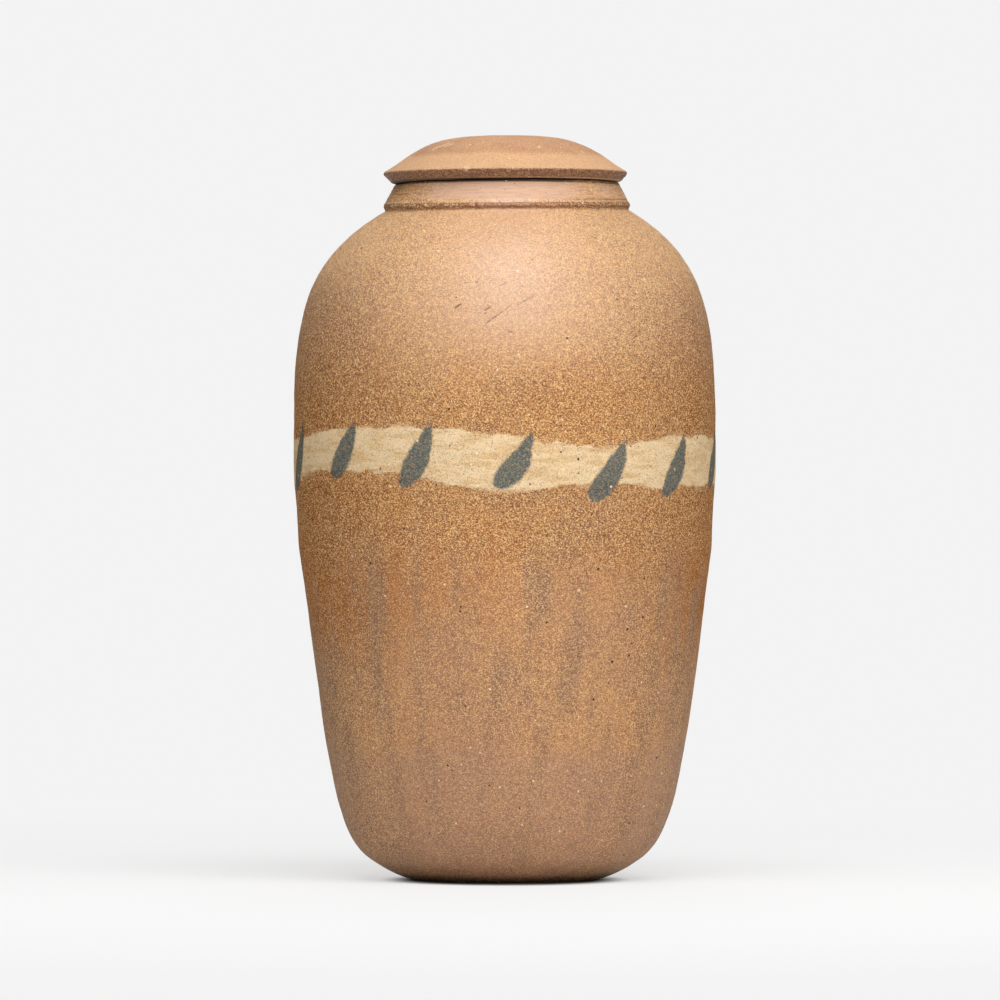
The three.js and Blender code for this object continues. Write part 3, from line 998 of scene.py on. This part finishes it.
# Camera, at the height of the eye and as far off as the ellipses of the rings show
AIM = (0.0, 0.0, 190.0)
CAMERA_DISTANCE = 3879.0
CAMERA_HEIGHT = 179.7
CAMERA_ASIDE = -2.33
CAMERA_AIM_HEIGHT = 183.6
FRAME_WIDTH = 484.9
SENSOR_WIDTH = 36.0

# Lamps: name, bearing, elevation, distance, width, height, level on a white card that faces it, and
# whether its reflection shows
LAMPS = (
    ("key_softbox", 8, 57, 2000, 1700, 1500, 1.05, True),
    ("left_softbox", -45, 58, 2100, 1200, 1200, 0.07, False),
    ("right_softbox", 45, 45, 2300, 1000, 1200, 0.13, False),
    ("front_fill", 10, 4, 2600, 1200, 1200, 0.28, True),
    ("top_softbox", 0, 86, 2000, 1400, 1400, 0.15, False),
    ("back_fill", 180, 25, 2600, 1800, 1500, 0.40, False),
)

# A dark curtain round the front and over the top, so that the rough clay has only the softbox, the floor
# and the background to mirror: bearing of its ends, radius, height and columns
CURTAIN_END = 170
CURTAIN_RADIUS = 3200.0
CURTAIN_HEIGHT = 3600.0
CURTAIN_COLUMNS = 49
CURTAIN_BLACK = linear("#101010")


def seen_share(tree):
    """1 for camera, glossy and transmission rays, which see the pale background, and 0 for the rest."""
    path = add(tree, "LightPath").outputs
    share = add(tree, "Math", {0: path["Is Camera Ray"], 1: path["Is Glossy Ray"]}, operation="MAXIMUM")
    return add(tree, "Math", {0: share, 1: path["Is Transmission Ray"]}, operation="MAXIMUM")


def pale_floor():
    """Matt painted board: it takes the jar's shadow close by and fades into the background further out.
    Right under the foot's edge, and most in front, its own light fades out: a painted shadow."""
    material, tree = fresh_material("pale_painted_board")
    where = add(tree, "TexCoord").outputs["Object"]
    shaded_from = add(tree, "Mapping", {
        "Vector": where,
        "Location": (0.0, FOOT_SHADE_FORWARD * MM, 0.0),
        "Scale": (FOOT_SHADE_NARROWER, 1.0, 1.0),
    })
    share = []
    for place, start, full, strength in (
        (where, FLOOR_NEAR, FLOOR_FAR, 1.0),
        (shaded_from, *FOOT_SHADE, FLOOR_OWN_LIGHT),
    ):
        away = add(tree, "VectorMath", {0: place}, operation="LENGTH").outputs["Value"]
        share.append(add(tree, "MapRange", {
            "Value": away, "From Min": start * MM, "From Max": full * MM, "To Max": strength,
        }, interpolation_type="SMOOTHSTEP"))
    far, open_floor = share
    own = add(tree, "Emission", {"Color": BACKGROUND, "Strength": open_floor})
    shaded = add(tree, "BsdfDiffuse", {"Color": FLOOR_SHADED})
    near = add(tree, "AddShader", {0: own, 1: shaded})
    plain = add(tree, "Emission", {"Color": BACKGROUND, "Strength": 1.0})
    shown = add(tree, "MixShader", {0: far, 1: near, 2: plain})
    bounce = add(tree, "BsdfDiffuse", {"Color": FLOOR_BOUNCE})
    surface = add(tree, "MixShader", {0: seen_share(tree), 1: bounce, 2: shown})
    add(tree, "OutputMaterial", {"Surface": surface})
    return material


def dark_curtain():
    """Black felt, which throws no light back: an arc of wall under a flat roof, whose (radius, height) pairs
    go to (radius sin(bearing), -radius cos(bearing), height) for each bearing. Only reflections see it."""
    bearings = np.radians(np.linspace(-CURTAIN_END, CURTAIN_END, CURTAIN_COLUMNS))[None]
    radius = np.array((CURTAIN_RADIUS, CURTAIN_RADIUS, 1.0))[:, None]
    height = np.array((1.0, CURTAIN_HEIGHT, CURTAIN_HEIGHT))[:, None]
    grid = np.stack((radius * np.sin(bearings), -radius * np.cos(bearings), height + bearings * 0), axis=-1)
    corner = np.arange(grid[..., 0].size).reshape(grid.shape[:2])
    faces = np.stack((corner[:-1, :-1], corner[1:, :-1], corner[1:, 1:], corner[:-1, 1:]), axis=-1)
    mesh = bpy.data.meshes.new("dark_curtain")
    mesh.from_pydata((grid.reshape(-1, 3) * MM).tolist(), [], faces.reshape(-1, 4).tolist())
    material, tree = fresh_material("black_felt")
    add(tree, "OutputMaterial", {"Surface": add(tree, "BsdfDiffuse", {"Color": CURTAIN_BLACK})})
    mesh.materials.append(material)
    curtain = bpy.data.objects.new("dark_curtain", mesh)
    curtain.visible_camera = False
    curtain.visible_diffuse = False
    curtain.visible_shadow = False
    bpy.context.scene.collection.objects.link(curtain)


def place_lamp(name, bearing, elevation, distance, width, height, level, mirrored):
    """An area lamp that faces the aim from its bearing and elevation. A lamp of P watts lights a card at
    distance d to P / (pi d)^2."""
    lamp = bpy.data.lights.new(name, "AREA")
    lamp.shape = "RECTANGLE"
    lamp.size = width * MM
    lamp.size_y = height * MM
    lamp.energy = level * (math.pi * distance * MM) ** 2
    holder = bpy.data.objects.new(name, lamp)
    azimuth, climb = math.radians(bearing), math.radians(elevation)
    back = np.array((
        math.sin(azimuth) * math.cos(climb),
        -math.cos(azimuth) * math.cos(climb),
        math.sin(climb),
    ))
    holder.location = (np.array(AIM) + back * distance) * MM
    holder.rotation_euler = (math.pi / 2 - climb, 0, azimuth)
    holder.visible_glossy = mirrored
    bpy.context.scene.collection.objects.link(holder)


def place_camera():
    """The camera, level with the eye, so far off that the frame's width at the jar is FRAME_WIDTH."""
    camera = bpy.data.cameras.new("camera")
    camera.sensor_width = SENSOR_WIDTH
    camera.lens = SENSOR_WIDTH * CAMERA_DISTANCE / FRAME_WIDTH
    camera.clip_start = 0.1
    camera.clip_end = 100
    holder = bpy.data.objects.new("camera", camera)
    holder.location = np.array((CAMERA_ASIDE, -CAMERA_DISTANCE, CAMERA_HEIGHT)) * MM
    climb = math.atan((CAMERA_AIM_HEIGHT - CAMERA_HEIGHT) / CAMERA_DISTANCE)
    holder.rotation_euler = (math.pi / 2 + climb, 0, 0)
    bpy.context.scene.collection.objects.link(holder)
    bpy.context.scene.camera = holder


def make_studio():
    """Floor, curtain, world, lamps and camera."""
    corners = np.array(((-1, -1, 0), (1, -1, 0), (1, 1, 0), (-1, 1, 0))) * FLOOR_HALF * MM
    mesh = bpy.data.meshes.new("pale_floor")
    mesh.from_pydata(corners.tolist(), [], [(0, 1, 2, 3)])
    floor = bpy.data.objects.new("pale_floor", mesh)
    floor.data.materials.append(pale_floor())
    bpy.context.scene.collection.objects.link(floor)
    dark_curtain()

    world = bpy.data.worlds.new("pale_studio")
    world.use_nodes = True
    tree = world.node_tree
    tree.nodes.clear()
    ambient = add(tree, "Background", {"Color": AMBIENT, "Strength": 1.0})
    background = add(tree, "Background", {"Color": BACKGROUND, "Strength": 1.0})
    light = add(tree, "MixShader", {0: seen_share(tree), 1: ambient, 2: background})
    add(tree, "OutputWorld", {"Surface": light})
    bpy.context.scene.world = world

    for lamp in LAMPS:
        place_lamp(*lamp)
    place_camera()


make_studio()

pot = make_pot()
pot.data.materials.append(body_stoneware())
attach(pot, "jar")
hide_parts("jar_body")

cap = make_lid()
cap.data.materials.append(lid_stoneware())
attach(cap, "cover")
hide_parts("lid")

view = bpy.context.scene.view_settings
view.view_transform = "Standard"
